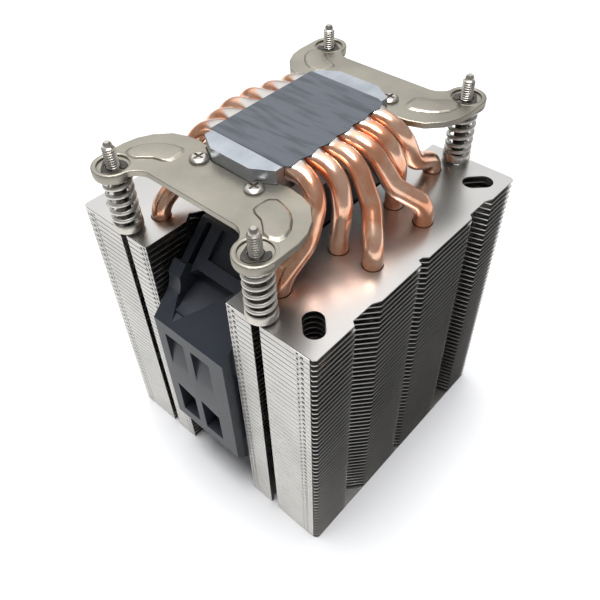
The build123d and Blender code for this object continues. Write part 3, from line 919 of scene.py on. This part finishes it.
@dataclass
class BracketScrew:
    """Pan head screw that holds a bracket to the base.

    Sizes are in millimetres. The dome is given by radius and depth under the top of the screw.
    """

    number: int
    finishes: Finishes
    dome: Corners = ((2.9, 1.8), (3.0, 1.4), (2.85, 0.7), (2.3, 0.2), (1.9, 0.05))
    dome_sides: int = 32
    shank: float = 1.4
    recess: CrossRecess = CrossRecess(reach=1.75, width=0.75, depth=0.9)
    recess_floor: float = 0.2

    def build(self) -> None:
        """Domed head with a cross recess."""
        low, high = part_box(f"bracket_screw_{self.number}")
        centre = (low + high) / 2
        axis = Vector((centre.x, centre.y, 0))
        foot, top = low.z / MM, high.z / MM
        dome = [(radius, top - depth) for radius, depth in self.dome]
        (skirt, under), (crown, crown_top) = dome[0], dome[-1]
        mesh = bmesh.new()
        add_lathe(mesh, dome, axis, self.dome_sides)
        rim = circle_points((centre.x / MM, centre.y / MM), crown, self.dome_sides)
        cross = [point + axis for point in self.recess.outline()]
        bottom = crown_top - self.recess.depth
        add_plate(mesh, rim, [cross], self.recess.depth * MM, Matrix.Translation(metres(0, 0, bottom)))
        add_plate(mesh, cross, [], self.recess_floor * MM,
                  Matrix.Translation(metres(0, 0, bottom - self.recess_floor)))
        add_lathe(mesh, [(0.01, foot), (self.shank, foot), (self.shank, under), (skirt, under)], axis, 24)
        head = finish_mesh(mesh, f"pan_screw_{self.number}", self.finishes.screw, ROOT)
        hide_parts(f"bracket_screw_{self.number}")


@dataclass
class SpringScrew:
    """Captive screw with its thread, spring and lobed clip.

    Sizes are in millimetres. The head is given by radius and height over the foot of the screw, its point by
    radius and depth under the tip, and each edge of the clip by its radius and the height of its lobes.
    Angles are in degrees, but turn_between, from one spring to the next, is in radians.
    """

    number: int
    finishes: Finishes
    shank: float = 1.9
    core: float = 1.52
    cover: float = 2.0
    cover_chamfer: float = 0.1
    head: Corners = ((0.01, 1.5), (1.6, 1.5), (2.0, 0.0), (4.2, 0.0), (4.6, 0.4), (4.6, 2.6), (4.25, 3.1))
    point: Corners = ((1.52, 1.5), (1.25, 0.5), (0.8, 0.0), (0.01, 0.0))
    sides: int = 40
    thread_length: float = 12.5
    thread_start: float = 0.3
    thread_end: float = 0.9
    thread_pitch: float = 0.75
    thread_profile: Corners = ((1.5, 0.0), (1.92, 0.3), (1.92, 0.42), (1.5, 0.75))
    clip_steps: int = 32
    clip_reach: float = 150.0
    clip_outer: Pair = (3.7, 0.45)
    clip_inner: Pair = (2.05, 0.5)
    clip_turn: Pair = (70.0, 95.0)
    clip_bevel: float = 0.15
    wire: float = 1.35
    turns: float = 5.7
    wire_sides: int = 10
    steps_per_turn: int = 28
    turn_between: float = 0.7
    end_turn: float = 0.13
    end_rise: float = 0.075
    travel: float = 5.0

    @property
    def body(self) -> str:
        """CAD body that the screw moves with."""
        return f"captive_screw_{self.number}"

    def axis(self) -> Vector:
        """Middle of the screw, at height zero."""
        low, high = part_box(f"spring_screw_{self.number}")
        return Vector(((low.x + high.x) / 2, (low.y + high.y) / 2, 0))

    def add_thread(self, mesh: Mesh, bottom: float, top: float) -> None:
        """Add a helical thread between two heights."""
        axis, steps = self.axis(), 20
        turns = int((top - bottom) / self.thread_pitch) - 1
        profile = self.thread_profile
        verts = [mesh.verts.new(axis + metres(radius, 0, bottom + height)) for radius, height in profile]
        edges = [mesh.edges.new((verts[i], verts[i + 1])) for i in range(len(verts) - 1)]
        bmesh.ops.spin(mesh, geom=verts + edges, angle=2 * math.pi * turns, steps=steps * turns,
                       axis=(0, 0, 1), cent=axis, dvec=(0, 0, self.thread_pitch * MM / steps))

    def build_screw(self) -> None:
        """Head and threaded end with its point, and a dark sleeve of painted shade on the shank."""
        low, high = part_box(f"spring_screw_{self.number}")
        foot, tip = low.z / MM, high.z / MM
        head = [(radius, foot + height) for radius, height in self.head]
        point = [(radius, tip - depth) for radius, depth in self.point]
        neck, start = head[-1][1], tip - self.thread_length
        middle = [(self.shank, neck), (self.shank, start), (self.core, start + self.thread_start)]
        axis = self.axis()
        mesh = bmesh.new()
        add_lathe(mesh, head + middle + point, axis, self.sides)
        self.add_thread(mesh, start, tip - self.thread_end)
        screw = finish_mesh(mesh, f"long_screw_{self.number}", self.finishes.screw, self.body, smooth=40)
        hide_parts(f"spring_screw_{self.number}")
        # The dark sleeve over the shank inside the spring is painted shade.
        sleeve = bmesh.new()
        low_edge, high_edge = neck + self.cover_chamfer, start - self.cover_chamfer
        cover = [(self.shank, neck), (self.cover, low_edge), (self.cover, high_edge), (self.shank, start)]
        add_lathe(sleeve, cover, axis, self.sides)
        shank = finish_mesh(sleeve, f"long_screw_shank_shade_{self.number}", self.finishes.oxide_and_shade, self.body)

    def build_clip(self) -> None:
        """Flat lobed ring, open on one side."""
        low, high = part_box(f"retaining_clip_{self.number}")
        axis = self.axis()
        points = []
        for sense in (1, -1):
            for step in range(self.clip_steps + 1):
                degrees = sense * (step * 2 * self.clip_reach / self.clip_steps - self.clip_reach)
                angle = math.radians(degrees)
                lobes = math.cos(3 * angle)
                middle, height = self.clip_outer if sense > 0 else self.clip_inner
                radius = middle + height * (lobes if sense > 0 else max(0.0, -lobes))
                points.append(metres(radius * math.cos(angle), radius * math.sin(angle), 0))
        first, between = self.clip_turn
        turn = Matrix.Rotation(math.radians(first + between * self.number), 4, "Z")
        mesh = bmesh.new()
        place = Matrix.Translation(axis + Vector((0, 0, low.z))) @ turn
        add_plate(mesh, points, [], high.z - low.z, place)
        clip = finish_mesh(mesh, f"lobed_clip_{self.number}", self.finishes.oxide_and_shade, self.body)
        bevelled(clip, self.clip_bevel)
        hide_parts(f"retaining_clip_{self.number}")

    def build_spring(self) -> None:
        """Coil of round wire with its end turns closed up."""
        low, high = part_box(f"spring_{self.number}")
        axis = self.axis()
        radius = (high.x - low.x) / 2 / MM - self.wire / 2
        bottom, tall = low.z / MM + self.wire / 2, (high.z - low.z) / MM - self.wire
        total = int(self.turns * self.steps_per_turn)
        upright = Matrix.Rotation(math.pi / 2, 4, "X")
        mesh = bmesh.new()
        rings = []
        for step in range(total + 1):
            share = step / total
            angle = 2 * math.pi * self.turns * share + self.turn_between * self.number
            height = self.rise(share) * tall + bottom
            centre = axis + metres(radius * math.cos(angle), radius * math.sin(angle), height)
            place = Matrix.Translation(centre) @ Matrix.Rotation(angle, 4, "Z") @ upright
            ring = bmesh.ops.create_circle(mesh, segments=self.wire_sides, radius=self.wire / 2 * MM,
                                           matrix=place, cap_ends=step in (0, total))
            rings.append([edge for vert in ring["verts"] for edge in vert.link_edges])
        for first, second in zip(rings, rings[1:]):
            bmesh.ops.bridge_loops(mesh, edges=list(set(first)) + list(set(second)))
        coil = finish_mesh(mesh, f"coil_spring_{self.number}", self.finishes.spring, ROOT, smooth=70)
        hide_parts(f"spring_{self.number}")
        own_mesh(coil)

    def rise(self, share: float) -> float:
        """Share of the spring's height at a share of its length: the end turns lie nearly flat."""
        flat, closed = self.end_turn, self.end_rise
        if share < flat:
            return closed * share / flat
        if share > 1 - flat:
            return 1 - closed * (1 - share) / flat
        return closed + (1 - 2 * closed) * (share - flat) / (1 - 2 * flat)

    def build(self) -> None:
        """Build the screw, its clip and its spring."""
        self.build_screw()
        self.build_clip()
        self.build_spring()
        log.info("spring screw %d", self.number)


# ---------------------------------------------------------------- fan


@dataclass
class Fan:
    """Moulded casing and the rotor inside it, with bevels in millimetres and the angle in degrees."""

    finishes: Finishes
    casing_bevel: float = 0.35
    rotor_bevel: float = 0.3
    smooth: float = 25.0

    def build(self) -> None:
        """Bevelled copies of the casing and the rotor, and a bright finish for the shaft."""
        casing = finish_mesh(copy_of("fan_casing"), "casing", self.finishes.casing, ROOT, self.smooth)
        bevelled(casing, self.casing_bevel)
        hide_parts("fan_casing")
        rotor = finish_mesh(copy_of("fan_impeller"), "rotor", self.finishes.rotor, "fan_rotor", self.smooth)
        bevelled(rotor, self.rotor_bevel)
        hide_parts("fan_impeller")
        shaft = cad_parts["fan_shaft"]
        shaft.data.materials.clear()
        shaft.data.materials.append(self.finishes.screw)
        log.info("fan")


# ---------------------------------------------------------------- studio


@dataclass
class Studio:
    """Pale floor, soft light and the camera.

    The eye and the target are in millimetres, the clip and distances on the floor in metres. Tones and
    strengths come in pairs: at the start and at the end of a fade.
    """

    eye: Triple = (113.92, -123.69, 230.11)
    target: Triple = (3.424, -4.999, 60.0)
    roll: float = -1.84
    lens: float = 38.72
    shift: Pair = (-0.003, -0.0015)
    clip: Pair = (0.01, 20.0)
    floor_size: float = 3.0
    floor_tone: tuple[float, float, float, float] = (0.93, 0.935, 0.95, 1.0)
    floor_roughness: float = 0.6
    bounce_direction: Triple = (-0.62, -0.78, 0.0)
    bounce_fade: Pair = (-0.05, 0.03)
    bounce_tone: Pair = (0.20, 0.9)
    bounce_rim: Pair = (0.20, 0.32)
    sky_direction: Triple = (-0.45, 0.35, 0.82)
    sky_fade: Pair = (0.55, 0.98)
    sky_strength: Pair = (0.24, 1.3)
    diffuse_share: float = 0.55
    sun_place: Triple = (-0.04, -0.04, 1.0)
    sun_power: float = 3.3
    sun_spread: float = 38.0

    def build_floor(self) -> None:
        """Large pale floor for the camera; other rays see it painted darker near one side of the cooler."""
        mesh = bmesh.new()
        bmesh.ops.create_grid(mesh, x_segments=1, y_segments=1, size=self.floor_size)
        data = bpy.data.meshes.new("floor")
        mesh.to_mesh(data)
        mesh.free()
        floor = bpy.data.objects.new("floor", data)
        bpy.context.scene.collection.objects.link(floor)
        material = bpy.data.materials.new("pale_floor")
        material.use_nodes = True
        tree = material.node_tree
        shader = tree.nodes["Principled BSDF"]
        shader.inputs["Roughness"].default_value = self.floor_roughness
        # Painted shade: for all but camera rays, the floor is darker towards one side and near the cooler.
        place = add_node(tree, "TexCoord").outputs["Object"]
        towards = add_node(tree, "VectorMath", {0: place, 1: self.bounce_direction}, operation="DOT_PRODUCT")
        bounce = ramp(tree, towards.outputs["Value"], self.bounce_fade, self.bounce_tone, soft=True)
        away = add_node(tree, "VectorMath", {0: place}, operation="LENGTH").outputs["Value"]
        rim = ramp(tree, away, self.bounce_rim, (0.0, self.bounce_tone[1]))
        lighter = add_node(tree, "Math", {0: bounce, 1: rim}, operation="MAXIMUM").outputs[0]
        seen = add_node(tree, "LightPath").outputs["Is Camera Ray"]
        tones = {"Factor": seen, "A": lighter, "B": self.floor_tone}
        tone = add_node(tree, "Mix", tones, data_type="RGBA").outputs["Result"]
        tree.links.new(tone, shader.inputs["Base Color"])
        data.materials.append(material)

    def build_world(self) -> None:
        """White surroundings for the camera, and for the rest a soft sky that fades to dark to the right."""
        world = bpy.data.worlds.new("studio")
        bpy.context.scene.world = world
        world.use_nodes = True
        tree = world.node_tree
        background = tree.nodes["Background"]
        background.inputs["Color"].default_value = (1, 1, 1, 1)
        direction = add_node(tree, "TexCoord").outputs["Generated"]
        towards = add_node(tree, "VectorMath", {0: direction, 1: self.sky_direction}, operation="DOT_PRODUCT")
        sky = ramp(tree, towards.outputs["Value"], self.sky_fade, self.sky_strength, soft=True)
        path = add_node(tree, "LightPath").outputs
        reflected = ramp(tree, path["Is Glossy Ray"], (0.0, 1.0), (self.diffuse_share, 1.0))
        unseen = add_node(tree, "Math", {0: sky, 1: reflected}, operation="MULTIPLY").outputs[0]
        strength = add_node(tree, "Mix", {"Factor": path["Is Camera Ray"], "A": unseen, "B": 1.0})
        tree.links.new(strength.outputs["Result"], background.inputs["Strength"])

    def build_sun(self) -> None:
        """Broad even light from overhead."""
        data = bpy.data.lights.new("overhead", "SUN")
        data.energy = self.sun_power
        data.angle = math.radians(self.sun_spread)
        sun = bpy.data.objects.new("overhead", data)
        sun.rotation_euler = (-Vector(self.sun_place)).to_track_quat("-Z", "Y").to_euler()
        bpy.context.scene.collection.objects.link(sun)

    def build_camera(self) -> None:
        """Camera that looks down on the near corner."""
        data = bpy.data.cameras.new("camera")
        data.lens = self.lens
        data.shift_x, data.shift_y = self.shift
        data.clip_start, data.clip_end = self.clip
        camera = bpy.data.objects.new("camera", data)
        camera.location = metres(*self.eye)
        aim = (metres(*self.target) - camera.location).to_track_quat("-Z", "Y")
        camera.rotation_mode = "QUATERNION"
        camera.rotation_quaternion = aim @ Matrix.Rotation(math.radians(self.roll), 3, "Z").to_quaternion()
        bpy.context.scene.collection.objects.link(camera)
        bpy.context.scene.camera = camera

    def build(self) -> None:
        """Build the whole studio."""
        bpy.context.scene.view_settings.view_transform = "Standard"
        self.build_floor()
        self.build_world()
        self.build_sun()
        self.build_camera()


def main() -> None:
    """Build every piece of the cooler and the studio."""
    finishes = Finishes()
    # Each lane of pipes: its distance from the middle in pitches, its hole in the fins, the height of its
    # last corner over them, and its middle corner as shares of the way from the first corner to the last.
    lanes = (
        (0.5, (38.2, 12.5), 6.5, (0.55, 0.22, 0.61)),
        (1.5, (26.6, 13.5), 4.7, (1.2, 0.75, 0.50)),
        (2.5, (25.2, 37.0), 3.9, (0.87, 0.37, 0.73)),
    )
    for side in Side:
        FinStack(side, finishes).build()
        Bracket(side, finishes).build()
    number = 1
    for side in Side:
        for lane, hole, rise, share in lanes:
            sign = side.value
            place = (hole[0], sign * hole[1])
            HeatPipe(number, sign * lane * LANE_PITCH, place, rise, share, finishes).build()
            number += 1
    Base(finishes).build()
    for number in range(1, 5):
        BracketScrew(number, finishes).build()
        SpringScrew(number, finishes).build()
    Fan(finishes).build()
    Studio().build()


if __name__ == "__main__":
    main()
